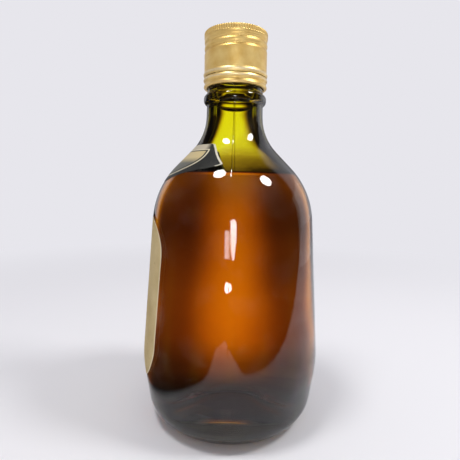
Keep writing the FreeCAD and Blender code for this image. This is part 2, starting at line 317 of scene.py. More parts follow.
# Olive green bottle glass: fire-polished, so its own gloss is sharp, under a faint film that hands have
# left in patches. The colour is all in its depth, which passes yellow green and stops blue.
olive_glass = new_material("olive_glass")
tree = olive_glass.node_tree
place = node(tree, "ShaderNodeTexCoord").outputs["Object"]
handled = node(tree, "ShaderNodeTexNoise", {"Vector": place, "Scale": 1 / (14 * MM), "Detail": 7.0})
film = node(tree, "ShaderNodeMapRange", {
    "Value": handled.outputs["Fac"], "From Min": 0.5, "From Max": 0.75, "To Min": 0.0, "To Max": 0.3})
ripple = node(tree, "ShaderNodeTexNoise", {"Vector": place, "Scale": 1 / (9 * MM), "Detail": 2.0})
bump = node(tree, "ShaderNodeBump", {
    "Height": ripple.outputs["Fac"], "Distance": 0.02 * MM, "Strength": 1.0})
body = node(tree, "ShaderNodeBsdfPrincipled", {
    "Base Color": linear("FCFCF4"), "Roughness": 0.0, "IOR": 1.52, "Transmission Weight": 1.0,
    "Coat Weight": film.outputs["Result"], "Coat Roughness": 0.3, "Normal": bump.outputs["Normal"]})
depth = node(tree, "ShaderNodeVolumeAbsorption", {"Color": (0.985, 0.966, 0.0, 1), "Density": 540.0})
node(tree, "ShaderNodeOutputMaterial", {
    "Surface": body.outputs["BSDF"], "Volume": depth.outputs["Volume"]})
glass.data.materials.append(olive_glass)
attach(glass, "bottle_body")
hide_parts("bottle")

# Contents: amber spirit, filled to just above the shoulder. It wets the glass, so its side overlaps
# the inner wall by a hair, and its level turns up in a small meniscus at the edge.
fill_height = shoulder_height + 6.7
overlap = 0.3
meniscus_rise = 0.9
meniscus_width = 2.2
meniscus_round = 2.0
spirit_cut = 3.0
wetted_top = neck_height + 5
side_top = fill_height + 0.5
wetted = rounded([(bore_radius + overlap, wetted_top, 0), *cavity(overlap)], spirit_cut)
wetted_wall = np.array([point for point in wetted if point.x > foot_radius])[::-1]
rim = float(np.interp(fill_height + meniscus_rise, wetted_wall[:, 1], wetted_wall[:, 0]))
level = rounded([
    (0.0, fill_height, 0),
    (rim - meniscus_width, fill_height, meniscus_round),
    (rim, fill_height + meniscus_rise, 0),
], spirit_cut)
spirit = draw("amber_contents", level + [point for point in wetted if point.y < side_top])
lathe(glass_steps)
bpy.ops.object.mode_set(mode="OBJECT")
bpy.ops.object.shade_smooth()

# Amber spirit: clear, thin and still, with a brown orange that deepens over the width of the bottle.
amber_spirit = new_material("amber_spirit")
tree = amber_spirit.node_tree
body = node(tree, "ShaderNodeBsdfPrincipled", {
    "Base Color": linear("FFFFFF"), "Roughness": 0.0, "IOR": 1.36, "Transmission Weight": 1.0})
depth = node(tree, "ShaderNodeVolumeAbsorption", {"Color": (0.95, 0.615, 0.0, 1), "Density": 50.0})
node(tree, "ShaderNodeOutputMaterial", {
    "Surface": body.outputs["BSDF"], "Volume": depth.outputs["Volume"]})
spirit.data.materials.append(amber_spirit)
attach(spirit, "bottle_body")
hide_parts("contents")

# Tamper band: the lower end of the cap's shell, drawn from 0.3 mm aluminium and lacquered gold. It is
# curled in under the ring on the glass, and short bridges hold it to the shell until first opened.
cap_wall = 0.3
cap_radius = 15.7
cap_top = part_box("screw_cap")[1].z / MM
cap_bead_radius = cap_radius + 0.55
cap_bead_fade = 1.1
cap_bead_round = 0.8
tear_height = cap_top - 21.45
band_top = tear_height - 0.3
band_low = band_top - 5.05
band_groove_radius = cap_radius - 0.35
band_groove_drop = 2.45
band_lip_radius = cap_radius + 0.25
band_lip_rise = 1.1
curl_radius = finish_radius + 0.4
band_cut = 0.4
band_steps = 240
bridge_count = 10
bridge_length = 0.24
bridge_half_steps = 1.01
edge_slack = 0.01
band = draw("tamper_band_shell", rounded([
    (cap_radius, band_top, 0),
    (cap_bead_radius, band_top - cap_bead_fade, cap_bead_round),
    (band_groove_radius, band_top - band_groove_drop, cap_bead_round),
    (band_lip_radius, band_low + band_lip_rise, cap_bead_round),
    (band_lip_radius, band_low, cap_bead_round),
    (curl_radius, band_low, 0),
], band_cut))
lathe(band_steps)
bpy.ops.mesh.select_mode(type="EDGE")
bpy.ops.mesh.select_all(action="DESELECT")
bpy.ops.object.mode_set(mode="OBJECT")
for edge in band.data.edges:
    middle = (band.data.vertices[edge.vertices[0]].co + band.data.vertices[edge.vertices[1]].co) / 2
    turn = math.atan2(middle.y, middle.x) / math.tau * bridge_count
    is_bridge = abs(turn - round(turn)) < bridge_count * bridge_half_steps / band_steps
    edge.select = is_bridge and middle.z > (band_top - edge_slack) * MM
bpy.ops.object.mode_set(mode="EDIT")
bpy.ops.mesh.extrude_region_move(TRANSFORM_OT_translate={"value": (0, 0, bridge_length * MM)})
bpy.ops.mesh.select_mode(type="VERT")
bpy.ops.object.mode_set(mode="OBJECT")

crease = math.radians(40)
rubbed_from = 0.1
rubbed_fully = 0.5


def give_wall(piece, thickness):
    """Thicken an open shell inwards by a length in mm and shade it smooth."""
    wall = piece.modifiers.new("wall", "SOLIDIFY")
    wall.thickness = thickness * MM
    wall.offset = -1
    wall.use_even_offset = True
    bpy.ops.object.modifier_apply(modifier="wall")
    bpy.ops.object.shade_smooth_by_angle(angle=crease)


def mark_rubbed(piece):
    """Note on each vertex how far it stands proud of the plain shell, where handling rubs it."""
    rubbed = piece.data.attributes.new("rubbed", "FLOAT", "POINT")
    for vertex, mark in zip(piece.data.vertices, rubbed.data):
        mark.value = ease(polar(vertex)[0], cap_radius + rubbed_from, cap_radius + rubbed_fully)


give_wall(band, cap_wall)
mark_rubbed(band)

# Gold lacquered aluminium: bright rolled sheet under a clear yellow lacquer, so the metal gleams and
# the coat softens it. Draw lines run round it, shown here coarser than the real ones so that they
# show at all, and proud rings are rubbed towards bare metal.
gold_aluminium = new_material("gold_lacquered_aluminium")
tree = gold_aluminium.node_tree
place = node(tree, "ShaderNodeTexCoord").outputs["Object"]
mottle = node(tree, "ShaderNodeTexNoise", {"Vector": place, "Scale": 1 / (5 * MM), "Detail": 5.0})
lacquer = node(tree, "ShaderNodeValToRGB", {"Fac": mottle.outputs["Fac"]})
lacquer.color_ramp.elements[0].position = 0.3
lacquer.color_ramp.elements[0].color = linear("DAB364")
lacquer.color_ramp.elements[1].position = 0.7
lacquer.color_ramp.elements[1].color = linear("EBCC82")
rub = node(tree, "ShaderNodeAttribute", attribute_name="rubbed").outputs["Fac"]
scuffs = node(tree, "ShaderNodeTexNoise", {"Vector": place, "Scale": 1 / (0.8 * MM), "Detail": 4.0})
worn = node(tree, "ShaderNodeMath", {0: rub, 1: scuffs.outputs["Fac"]}, operation="MULTIPLY")
colour = node(tree, "ShaderNodeMix", {
    0: worn.outputs["Value"], 6: lacquer.outputs["Color"], 7: linear("F6EAC8")}, data_type="RGBA")
drawn = node(tree, "ShaderNodeMapping", {
    "Vector": place, "Scale": (1 / (9 * MM), 1 / (9 * MM), 1 / (0.5 * MM))})
lines = node(tree, "ShaderNodeTexNoise", {"Vector": drawn.outputs["Vector"], "Scale": 1.0, "Detail": 3.0})
roughness = node(tree, "ShaderNodeMapRange", {
    "Value": lines.outputs["Fac"], "From Min": 0.3, "From Max": 0.7, "To Min": 0.36, "To Max": 0.46})
bump = node(tree, "ShaderNodeBump", {
    "Height": lines.outputs["Fac"], "Distance": 0.01 * MM, "Strength": 0.5})
body = node(tree, "ShaderNodeBsdfPrincipled", {
    "Base Color": colour.outputs[2], "Metallic": 1.0, "Roughness": roughness.outputs["Result"],
    "Coat Weight": 0.15, "Coat Roughness": 0.12, "Normal": bump.outputs["Normal"]})
node(tree, "ShaderNodeOutputMaterial", {"Surface": body.outputs["BSDF"]})
band.data.materials.append(gold_aluminium)
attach(band, "bottle_body")
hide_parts("tamper_band")

# Cap liner: a disc of expanded polyethylene, pressed between the mouth and the top of the shell to
# seal it. Its cells show as a fine pebble on a soft off-white.
liner_foam = new_material("expanded_polyethylene")
tree = liner_foam.node_tree
place = node(tree, "ShaderNodeTexCoord").outputs["Object"]
cells = node(tree, "ShaderNodeTexVoronoi", {"Vector": place, "Scale": 1 / (0.5 * MM)})
shade = node(tree, "ShaderNodeValToRGB", {"Fac": cells.outputs["Distance"]})
shade.color_ramp.elements[0].color = linear("D9D7CD")
shade.color_ramp.elements[1].color = linear("F1F0EA")
bump = node(tree, "ShaderNodeBump", {
    "Height": cells.outputs["Distance"], "Distance": 0.05 * MM, "Strength": 0.5})
body = node(tree, "ShaderNodeBsdfPrincipled", {
    "Base Color": shade.outputs["Color"], "Roughness": 0.75, "Normal": bump.outputs["Normal"]})
node(tree, "ShaderNodeOutputMaterial", {"Surface": body.outputs["BSDF"]})
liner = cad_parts["cap_liner"]
liner.data.materials.clear()
liner.data.materials.append(liner_foam)

# Screw cap: the upper end of the same drawn shell, rolled into the thread of the glass when the bottle
# was closed. Its crown is knurled for grip, and a bead stiffens the edge above the tear line.
crown_radius = cap_radius + 0.15
crown_low = cap_top - 2.7
crown_flare = 0.6
crown_round = 0.5
cap_top_round = 0.8
disc_radius = crown_radius - 1.6
cap_bead_rise = 1.35
cap_bead_top = 2.45
knurl_count = 80
knurl_depth = 0.3
knurl_steps = 6
knurl_low = crown_low + 0.1
knurl_full = crown_low + 0.5
knurl_high = cap_top - 0.6
groove_depth = 0.55
shell_inset = 0.1
crown_inset = 0.3
thread_zone_low = thread_low - 2.4
skirt_cut = 0.5
rolled_cut = 0.25
disc_cut = 2.0
skirt = rounded([
    (cap_radius, tear_height, 0),
    (cap_bead_radius, tear_height + cap_bead_rise, cap_bead_round),
    (cap_radius, tear_height + cap_bead_top, cap_bead_round),
    (cap_radius, thread_zone_low, 0),
], skirt_cut)
rolled = rounded([
    (cap_radius, thread_zone_low, 0),
    (cap_radius, crown_low - crown_flare, crown_round),
    (crown_radius, crown_low, crown_round),
    (crown_radius, cap_top, cap_top_round),
    (disc_radius, cap_top, 0),
], rolled_cut)
disc = rounded([(disc_radius, cap_top, 0), (0.0, cap_top, 0)], disc_cut)
cap = draw("screw_cap_shell", skirt + rolled[1:] + disc[1:])
lathe(knurl_count * knurl_steps)
bpy.ops.object.mode_set(mode="OBJECT")
for vertex in cap.data.vertices:
    radius, angle, height = polar(vertex)
    if height < crown_low and radius > cap_radius - shell_inset:
        above, formed = along_thread(angle, height, thread_low)
        push(vertex, -groove_depth * formed * (0.5 + 0.5 * math.cos(math.tau * above / thread_pitch)) ** 2)
    if radius > crown_radius - crown_inset and height > crown_low:
        notch = (0.5 + 0.5 * math.cos(knurl_count * angle)) ** 2
        reach = ease(height, knurl_low, knurl_full) * (1 - ease(height, knurl_high, cap_top))
        push(vertex, -knurl_depth * notch * reach)
give_wall(cap, cap_wall)
mark_rubbed(cap)
cap.data.materials.append(gold_aluminium)
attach(cap, "cap_body")
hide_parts("screw_cap")

# Body label: a large blank label of uncoated tan paper with well rounded corners, glued round the
# front of the belly. Age has mottled it, and its cut edge shows paler.
label_sink = 0.06
label_thickness = 0.16
label_cut = 1.5
label_cockle = 0.03
label_fold = 9
end_fall = 8


def lay_label(name, corners, columns, chart):
    """Cut a sheet to an outline, given as its right half from the top down, and lay it on the glass.
    The chart turns an angle from the front and a distance from the axis into the sheet's UV place."""
    half = rounded([(0.0, corners[0][1], 0), *corners, (0.0, corners[-1][1], 0)], label_cut)[1:-1]
    bpy.ops.object.select_all(action="DESELECT")
    bpy.ops.mesh.primitive_grid_add(x_subdivisions=columns - 1, y_subdivisions=len(half) - 1, size=2)
    sheet = bpy.context.object
    sheet.name = sheet.data.name = name
    marks = ("edge_distance", "end_distance")
    for mark in marks:
        sheet.data.attributes.new(mark, "FLOAT", "POINT")
    edges, ends = [sheet.data.attributes[mark].data for mark in marks]
    widest = max(half, key=lambda point: point.x)
    charted = []
    for vertex, edge, end in zip(sheet.data.vertices, edges, ends):
        across, up = half[round((1 - vertex.co.y) / 2 * (len(half) - 1))]
        share = math.sin(vertex.co.x * math.pi / 2)
        radius = float(np.interp(up, outer_wall[:, 1], outer_wall[:, 0]))
        angle = share * math.asin(min(across / radius, 1))
        to_side = (1 - abs(share)) * across
        edge.value = min(to_side, half[0].y - up, up - half[-1].y)
        # Below the widest row the side is the lower edge, which soon stops counting as an end.
        end.value = to_side + end_fall * max(widest.y - up, 0)
        charted.append(chart(angle, radius, up))
        # The paper cockles in upright folds, much finer round the bottle than up it.
        radius += label_cockle * wave(Vector((angle, up * MM, 0)), label_fold) - label_sink
        vertex.co = Vector((radius * math.sin(angle), -radius * math.cos(angle), up)) * MM
    for loop, spot in zip(sheet.data.loops, sheet.data.uv_layers.active.data):
        spot.uv = charted[loop.vertex_index]
    paper = sheet.modifiers.new("paper", "SOLIDIFY")
    paper.thickness = label_thickness * MM
    paper.offset = 1
    bpy.ops.object.modifier_apply(modifier="paper")
    bpy.ops.object.shade_smooth_by_angle(angle=crease)
    return sheet


chart_width = 100
body_label_columns = 65
body_label = lay_label("body_label_sheet", [
    (26.5, shoulder_height - 14.5, 18.0),
    (28.3, belly_height - 8.7, 20.0),
], body_label_columns, lambda angle, radius, up: (
    0.5 + angle * radius / chart_width, up / chart_width))

# Uncoated tan label paper: short fibres give a fine tooth, damp has left soft clouds and a few foxing
# spots, and the cut edge is nearly white.
tan_paper = new_material("tan_label_paper")
tree = tan_paper.node_tree
place = node(tree, "ShaderNodeTexCoord").outputs["Object"]
clouds = node(tree, "ShaderNodeTexNoise", {"Vector": place, "Scale": 1 / (14 * MM), "Detail": 6.0})
tone = node(tree, "ShaderNodeValToRGB", {"Fac": clouds.outputs["Fac"]})
tone.color_ramp.elements[0].position = 0.25
tone.color_ramp.elements[0].color = linear("AB9461")
tone.color_ramp.elements[1].position = 0.75
tone.color_ramp.elements[1].color = linear("C6B285")
spots = node(tree, "ShaderNodeTexNoise", {"Vector": place, "Scale": 1 / (3 * MM), "Detail": 2.0})
foxing = node(tree, "ShaderNodeMapRange", {
    "Value": spots.outputs["Fac"], "From Min": 0.68, "From Max": 0.76, "To Min": 0.0, "To Max": 0.6})
aged = node(tree, "ShaderNodeMix", {
    0: foxing.outputs["Result"], 6: tone.outputs["Color"], 7: linear("8A6A3C")}, data_type="RGBA")
fibres = node(tree, "ShaderNodeTexNoise", {"Vector": place, "Scale": 1 / (0.45 * MM), "Detail": 4.0})
tooth = node(tree, "ShaderNodeMapRange", {
    "Value": fibres.outputs["Fac"], "From Min": 0.3, "From Max": 0.7, "To Min": 0.9, "To Max": 1.06})
toothed = node(tree, "ShaderNodeMix", {
    0: 1.0, 6: aged.outputs[2], 7: tooth.outputs["Result"]}, data_type="RGBA", blend_type="MULTIPLY")
inward = node(tree, "ShaderNodeAttribute", attribute_name="edge_distance").outputs["Fac"]
cut_edge = node(tree, "ShaderNodeMapRange", {
    "Value": inward, "From Min": 0.2, "From Max": 0.9, "To Min": 0.75, "To Max": 0.0})
colour = node(tree, "ShaderNodeMix", {
    0: cut_edge.outputs["Result"], 6: toothed.outputs[2], 7: linear("E9DDBE")}, data_type="RGBA")
bump = node(tree, "ShaderNodeBump", {
    "Height": fibres.outputs["Fac"], "Distance": 0.03 * MM, "Strength": 0.6})
body = node(tree, "ShaderNodeBsdfPrincipled", {
    "Base Color": colour.outputs[2], "Roughness": 0.72, "Specular IOR Level": 0.35,
    "Normal": bump.outputs["Normal"]})
node(tree, "ShaderNodeOutputMaterial", {"Surface": body.outputs["BSDF"]})
body_label.data.materials.append(tan_paper)
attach(body_label, "bottle_body")
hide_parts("body_label")

# Shoulder label: a dark printed label wrapped round the slope of the shoulder, with slanted ends that
# show the white of the paper. A plain cream line draws a half oval just below its top edge.
oval_half_angle = math.radians(58.5)
oval_centre_radius = 23.2
oval_drop = 11.0
oval_rise = 1.0
shoulder_label_columns = 97
shoulder_label = lay_label("shoulder_label_sheet", [
    (17.5, neck_height - 5.1, 1.5),
    (30.3, shoulder_height + 10.0, 1.5),
    (12.0, shoulder_height + 3.0, 20.0),
], shoulder_label_columns, lambda angle, radius, up: (
    0.5 + 0.25 * angle / oval_half_angle, 0.5 - 0.25 * (radius - oval_centre_radius) / oval_drop))

# Dark label paper: charcoal ink with a soft sheen, a painted reflection as a pale band along the top,
# and a cream line round a field that goes from gold to grey. Rubbing has let specks of paper through.
dark_paper = new_material("dark_label_paper")
tree = dark_paper.node_tree
textures = node(tree, "ShaderNodeTexCoord")
place = textures.outputs["Object"]
from_middle = node(tree, "ShaderNodeVectorMath", {
    0: textures.outputs["UV"], 1: (0.5, 0.5, 0)}, operation="SUBTRACT")
ring = node(tree, "ShaderNodeVectorMath", {0: from_middle.outputs["Vector"]}, operation="LENGTH")
round_oval = node(tree, "ShaderNodeMath", {0: ring.outputs["Value"], 1: 4.0}, operation="MULTIPLY")
height = node(tree, "ShaderNodeSeparateXYZ", {"Vector": textures.outputs["UV"]})
flat_top = node(tree, "ShaderNodeMath", {
    0: height.outputs["Y"], 1: 4.0, 2: -1.0 - oval_rise / oval_drop}, operation="MULTIPLY_ADD")
oval = node(tree, "ShaderNodeMath", {
    0: round_oval.outputs["Value"], 1: flat_top.outputs["Value"]}, operation="MAXIMUM")
ink = node(tree, "ShaderNodeTexNoise", {"Vector": place, "Scale": 1 / (6 * MM), "Detail": 5.0})
ground = node(tree, "ShaderNodeValToRGB", {"Fac": ink.outputs["Fac"]})
ground.color_ramp.elements[0].position = 0.3
ground.color_ramp.elements[0].color = linear("141412")
ground.color_ramp.elements[1].position = 0.75
ground.color_ramp.elements[1].color = linear("282824")
field = node(tree, "ShaderNodeValToRGB", {"Fac": height.outputs["Y"]})
field.color_ramp.elements[0].position = 0.38
field.color_ramp.elements[0].color = linear("5F5F57")
field.color_ramp.elements[1].position = 0.44
field.color_ramp.elements[1].color = linear("C6B384")
inside_oval = node(tree, "ShaderNodeMapRange", {
    "Value": oval.outputs["Value"], "From Min": 0.93, "From Max": 0.95, "To Min": 1.0, "To Max": 0.0})
printed = node(tree, "ShaderNodeMix", {
    0: inside_oval.outputs["Result"], 6: ground.outputs["Color"], 7: field.outputs["Color"]},
    data_type="RGBA")
sides = node(tree, "ShaderNodeSeparateXYZ", {"Vector": from_middle.outputs["Vector"]})
sideways = node(tree, "ShaderNodeMath", {0: sides.outputs["X"]}, operation="ABSOLUTE")
# Along the top, above the oval, a pale band is painted in as a reflection.
reflection_band_end = node(tree, "ShaderNodeMapRange", {
    "Value": sideways.outputs["Value"], "From Min": 0.215, "From Max": 0.25, "To Min": 1.0, "To Max": 0.0})
above_oval = node(tree, "ShaderNodeMath", {
    0: flat_top.outputs["Value"], 1: 1.0}, operation="GREATER_THAN")
painted_reflection_band = node(tree, "ShaderNodeMath", {
    0: above_oval.outputs["Value"], 1: reflection_band_end.outputs["Result"]}, operation="MULTIPLY")
with_painted_reflection = node(tree, "ShaderNodeMix", {
    0: painted_reflection_band.outputs["Value"], 6: printed.outputs[2], 7: linear("BBB19B")}, data_type="RGBA")
on_line = node(tree, "ShaderNodeMath", {0: oval.outputs["Value"], 1: 1.0, 2: 0.016}, operation="COMPARE")
lined = node(tree, "ShaderNodeMix", {
    0: on_line.outputs["Value"], 6: with_painted_reflection.outputs[2], 7: linear("D6CDB0")}, data_type="RGBA")
specks = node(tree, "ShaderNodeTexNoise", {"Vector": place, "Scale": 1 / (0.9 * MM), "Detail": 5.0})
rubbed = node(tree, "ShaderNodeMapRange", {
    "Value": specks.outputs["Fac"], "From Min": 0.66, "From Max": 0.74, "To Min": 0.0, "To Max": 0.5})
rubbed_print = node(tree, "ShaderNodeMix", {
    0: rubbed.outputs["Result"], 6: lined.outputs[2], 7: linear("8C8872")}, data_type="RGBA")
inward = node(tree, "ShaderNodeAttribute", attribute_name="end_distance").outputs["Fac"]
ragged = node(tree, "ShaderNodeMath", {
    0: specks.outputs["Fac"], 1: 0.5, 2: inward}, operation="MULTIPLY_ADD")
cut_end = node(tree, "ShaderNodeMapRange", {
    "Value": ragged.outputs["Value"], "From Min": 0.95, "From Max": 1.1, "To Min": 1.0, "To Max": 0.0})
colour = node(tree, "ShaderNodeMix", {
    0: cut_end.outputs["Result"], 6: rubbed_print.outputs[2], 7: linear("CFC9B6")}, data_type="RGBA")
bump = node(tree, "ShaderNodeBump", {
    "Height": specks.outputs["Fac"], "Distance": 0.03 * MM, "Strength": 0.5})
body = node(tree, "ShaderNodeBsdfPrincipled", {
    "Base Color": colour.outputs[2], "Roughness": 0.48, "Specular IOR Level": 0.22,
    "Normal": bump.outputs["Normal"]})
node(tree, "ShaderNodeOutputMaterial", {"Surface": body.outputs["BSDF"]})
shoulder_label.data.materials.append(dark_paper)
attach(shoulder_label, "bottle_body")
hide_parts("shoulder_label")

# Studio: a plain pale floor that runs out into a plain pale room, lit softly from all round, with two
# round lamps overhead, a panel behind and small panels in front. Glass sees bright cards with dark gaps
# between them, as in a bottle photograph, which is what gives it a bright middle and dark edges.
room_colour = linear("E7E6EC")
gap_level = 0.04


def ring_of_cards(tree, place, count, turned=0.0):
    """Go from 1 at the middle of each card that stands round the bottle to -1 halfway to the next."""
    along = node(tree, "ShaderNodeSeparateXYZ", {"Vector": place})
    bearing = node(tree, "ShaderNodeMath", {0: along.outputs["Y"], 1: along.outputs["X"]},
                   operation="ARCTAN2")
    turns = node(tree, "ShaderNodeMath", {
        0: bearing.outputs["Value"], 1: count, 2: -count * turned}, operation="MULTIPLY_ADD")
    return node(tree, "ShaderNodeMath", {0: turns.outputs["Value"]}, operation="COSINE").outputs["Value"]


# To the camera the floor fades into the room. A sharp mirror sees it end in dusk past a front edge, which
# slants to the right and comes to a corner at the left, and past a left edge. What is refracted sees shade
# under the bottle and no floor beyond. Places are in metres.
floor_radius = 3.0
fade_near = 0.18
fade_far = 0.6
front_near = 0.165
front_far = 0.178
front_slant = 0.39
corner_left_by = 0.03
corner_depth = 0.08
corner_slope = 1.15
left_near = -0.054
left_far = -0.067
shade_near = 0.03
shade_far = 0.14
bpy.ops.object.select_all(action="DESELECT")
bpy.ops.mesh.primitive_circle_add(vertices=96, radius=floor_radius, fill_type="NGON")
floor = bpy.context.object
floor.name = floor.data.name = "floor"
pale_floor = new_material("pale_floor")
tree = pale_floor.node_tree
place = node(tree, "ShaderNodeTexCoord").outputs["Object"]
away = node(tree, "ShaderNodeVectorMath", {0: place}, operation="LENGTH").outputs["Value"]
path = node(tree, "ShaderNodeLightPath")
far = node(tree, "ShaderNodeMapRange", {
    "Value": away, "From Min": fade_near, "From Max": fade_far}, interpolation_type="SMOOTHSTEP")
along = node(tree, "ShaderNodeSeparateXYZ", {"Vector": place})
from_corner = node(tree, "ShaderNodeMath", {
    0: along.outputs["Y"], 1: corner_left_by}, operation="ADD")
off_corner = node(tree, "ShaderNodeMath", {0: from_corner.outputs["Value"]}, operation="ABSOLUTE")
narrowing = node(tree, "ShaderNodeMath", {
    0: off_corner.outputs["Value"], 1: -corner_slope, 2: corner_depth}, operation="MULTIPLY_ADD")
corner = node(tree, "ShaderNodeMath", {0: narrowing.outputs["Value"], 1: 0.0}, operation="MAXIMUM")
to_right = node(tree, "ShaderNodeMath", {0: along.outputs["Y"], 1: 0.0}, operation="MAXIMUM")
slanted = node(tree, "ShaderNodeMath", {
    0: to_right.outputs["Value"], 1: front_slant, 2: along.outputs["X"]}, operation="MULTIPLY_ADD")
front_edge = node(tree, "ShaderNodeMath", {
    0: slanted.outputs["Value"], 1: corner.outputs["Value"]}, operation="SUBTRACT")
past_front = node(tree, "ShaderNodeMapRange", {
    "Value": front_edge.outputs["Value"], "From Min": front_near, "From Max": front_far},
    interpolation_type="SMOOTHSTEP")
past_side = node(tree, "ShaderNodeMapRange", {
    "Value": along.outputs["Y"], "From Min": left_near, "From Max": left_far},
    interpolation_type="SMOOTHSTEP")
past_edge = node(tree, "ShaderNodeMath", {
    0: past_front.outputs["Result"], 1: past_side.outputs["Result"]}, operation="MAXIMUM")
matt = node(tree, "ShaderNodeBsdfDiffuse", {"Color": linear("F1F0F3")})
room = node(tree, "ShaderNodeEmission", {"Color": room_colour})
dusk = node(tree, "ShaderNodeEmission", {"Color": room_colour, "Strength": gap_level})
seen_far = node(tree, "ShaderNodeMath", {
    0: far.outputs["Result"], 1: path.outputs["Is Camera Ray"]}, operation="MULTIPLY")
mirrored = node(tree, "ShaderNodeMath", {
    0: path.outputs["Is Glossy Ray"], 1: path.outputs["Is Singular Ray"]}, operation="MULTIPLY")
mirrored_far = node(tree, "ShaderNodeMath", {
    0: past_edge.outputs["Value"], 1: mirrored.outputs["Value"]}, operation="MULTIPLY")
under = node(tree, "ShaderNodeMapRange", {
    "Value": away, "From Min": shade_near, "From Max": shade_far}, interpolation_type="SMOOTHSTEP")
shade = node(tree, "ShaderNodeEmission", {"Strength": 0.01})
clear = node(tree, "ShaderNodeBsdfTransparent")
table = node(tree, "ShaderNodeMixShader", {
    0: under.outputs["Result"], 1: shade.outputs["Emission"], 2: clear.outputs["BSDF"]})
to_room = node(tree, "ShaderNodeMixShader", {
    0: seen_far.outputs["Value"], 1: matt.outputs["BSDF"], 2: room.outputs["Emission"]})
to_dusk = node(tree, "ShaderNodeMixShader", {
    0: mirrored_far.outputs["Value"], 1: to_room.outputs["Shader"], 2: dusk.outputs["Emission"]})
surface = node(tree, "ShaderNodeMixShader", {
    0: path.outputs["Is Transmission Ray"], 1: to_dusk.outputs["Shader"], 2: table.outputs["Shader"]})
node(tree, "ShaderNodeOutputMaterial", {"Surface": surface.outputs["Shader"]})
floor.data.materials.append(pale_floor)

# A gauze hung round the shoulder, which only the light on its way through the glass meets, darkens the
# top of the contents.
gauze_radius = 0.06
gauze_depth = 0.034
gauze_middle = 0.109
gauze_thin = 0.095
gauze_thick = 0.111
gauze_passes = 0.4
bpy.ops.mesh.primitive_cylinder_add(
    vertices=96, radius=gauze_radius, depth=gauze_depth, end_fill_type="NOTHING",
    location=(0, 0, gauze_middle))
bpy.ops.object.transform_apply(location=True)
gauze = bpy.context.object
gauze.name = gauze.data.name = "gauze"
thin_gauze = new_material("thin_gauze")
tree = thin_gauze.node_tree
place = node(tree, "ShaderNodeTexCoord").outputs["Object"]
along = node(tree, "ShaderNodeSeparateXYZ", {"Vector": place})
passed = node(tree, "ShaderNodeMapRange", {
    "Value": along.outputs["Z"], "From Min": gauze_thin, "From Max": gauze_thick, "To Min": 1.0,
    "To Max": gauze_passes}, interpolation_type="SMOOTHSTEP")
weave = node(tree, "ShaderNodeBsdfTransparent", {"Color": passed.outputs["Result"]})
node(tree, "ShaderNodeOutputMaterial", {"Surface": weave.outputs["BSDF"]})
gauze.data.materials.append(thin_gauze)
gauze.visible_camera = gauze.visible_diffuse = gauze.visible_glossy = gauze.visible_shadow = False

# Room: plain and pale to the camera. Satin metal sees a soft rise and fall of light, a sharp mirror sees a
# dark room with a pale wall behind each side, and what is refracted sees the cards. Heights are the upward
# part of a direction, from -1 to 1, each with its level of light.
even_level = 0.55
wall_level = 0.8
satin_foot = 0.25
satin_top = 0.3
satin_levels = ((-0.2, 0.38), (0.15, 0.83), (0.5, 0.83), (0.8, 0.45))
horizon_end = 0.05
horizon_levels = (
    (-0.65, 0.05), (-0.55, 0.6), (-0.42, 1.0), (-0.35, 1.0), (-0.20, 0.75), (-0.06, 0.3),
    (-0.01, 0.04), (0.03, 0.04), (0.05, 1.0), (0.28, 1.0), (0.34, 0.15))
low_card_count = 8
high_card_count = 6
high_card_turn = math.radians(2)
high_card_half_width = math.radians(20)
high_card_core = math.radians(6)
high_card_bow = 0.1
bounce_level = 0.12
room_light = bpy.data.worlds.new("studio")
room_light.use_nodes = True
bpy.context.scene.world = room_light
tree = room_light.node_tree
tree.nodes.clear()
towards = node(tree, "ShaderNodeTexCoord").outputs["Generated"]
along = node(tree, "ShaderNodeSeparateXYZ", {"Vector": towards})
rise = node(tree, "ShaderNodeMapRange", {"Value": along.outputs["Z"], "From Min": -1.0, "From Max": 1.0})
satin = node(tree, "ShaderNodeValToRGB", {"Fac": rise.outputs["Result"]})
for rising, level in satin_levels:
    stop = satin.color_ramp.elements.new(0.5 + rising / 2)
    stop.color = (level, level, level, 1)
satin.color_ramp.elements[0].color = (satin_foot, satin_foot, satin_foot, 1)
satin.color_ramp.elements[-1].color = (satin_top, satin_top, satin_top, 1)
narrowed = node(tree, "ShaderNodeMapRange", {
    "Value": along.outputs["Y"], "From Min": -0.1, "From Max": -0.4, "To Min": 0.0, "To Max": 0.34})
backward = node(tree, "ShaderNodeMath", {
    0: along.outputs["X"], 1: narrowed.outputs["Result"]}, operation="ADD")
behind = node(tree, "ShaderNodeMapRange", {
    "Value": backward.outputs["Value"], "From Min": -0.26, "From Max": -0.38},
    interpolation_type="SMOOTHSTEP")
sideways = node(tree, "ShaderNodeMath", {0: along.outputs["Y"]}, operation="ABSOLUTE")
beside = node(tree, "ShaderNodeMapRange", {
    "Value": sideways.outputs["Value"], "From Min": 0.25, "From Max": 0.5}, interpolation_type="SMOOTHSTEP")
walls = node(tree, "ShaderNodeMath", {
    0: behind.outputs["Result"], 1: beside.outputs["Result"]}, operation="MULTIPLY")
sharp = node(tree, "ShaderNodeMapRange", {
    "Value": walls.outputs["Value"], "To Min": gap_level, "To Max": wall_level})
path = node(tree, "ShaderNodeLightPath")
in_mirror = node(tree, "ShaderNodeMix", {
    0: path.outputs["Is Singular Ray"], 2: satin.outputs["Color"], 3: sharp.outputs["Result"]})
level_mirror = node(tree, "ShaderNodeMix", {
    0: path.outputs["Is Glossy Ray"], 2: even_level, 3: in_mirror.outputs[0]})
table_glow = node(tree, "ShaderNodeMapRange", {
    "Value": along.outputs["Z"], "From Min": -0.10, "From Max": -0.35, "To Min": 0.05, "To Max": 0.22})
is_up = node(tree, "ShaderNodeMapRange", {
    "Value": along.outputs["Z"], "From Min": 0.0, "From Max": 0.04}, interpolation_type="SMOOTHSTEP")
low_swing = node(tree, "ShaderNodeMapRange", {
    "Value": ring_of_cards(tree, towards, low_card_count), "From Min": -1.0, "From Max": 1.0})
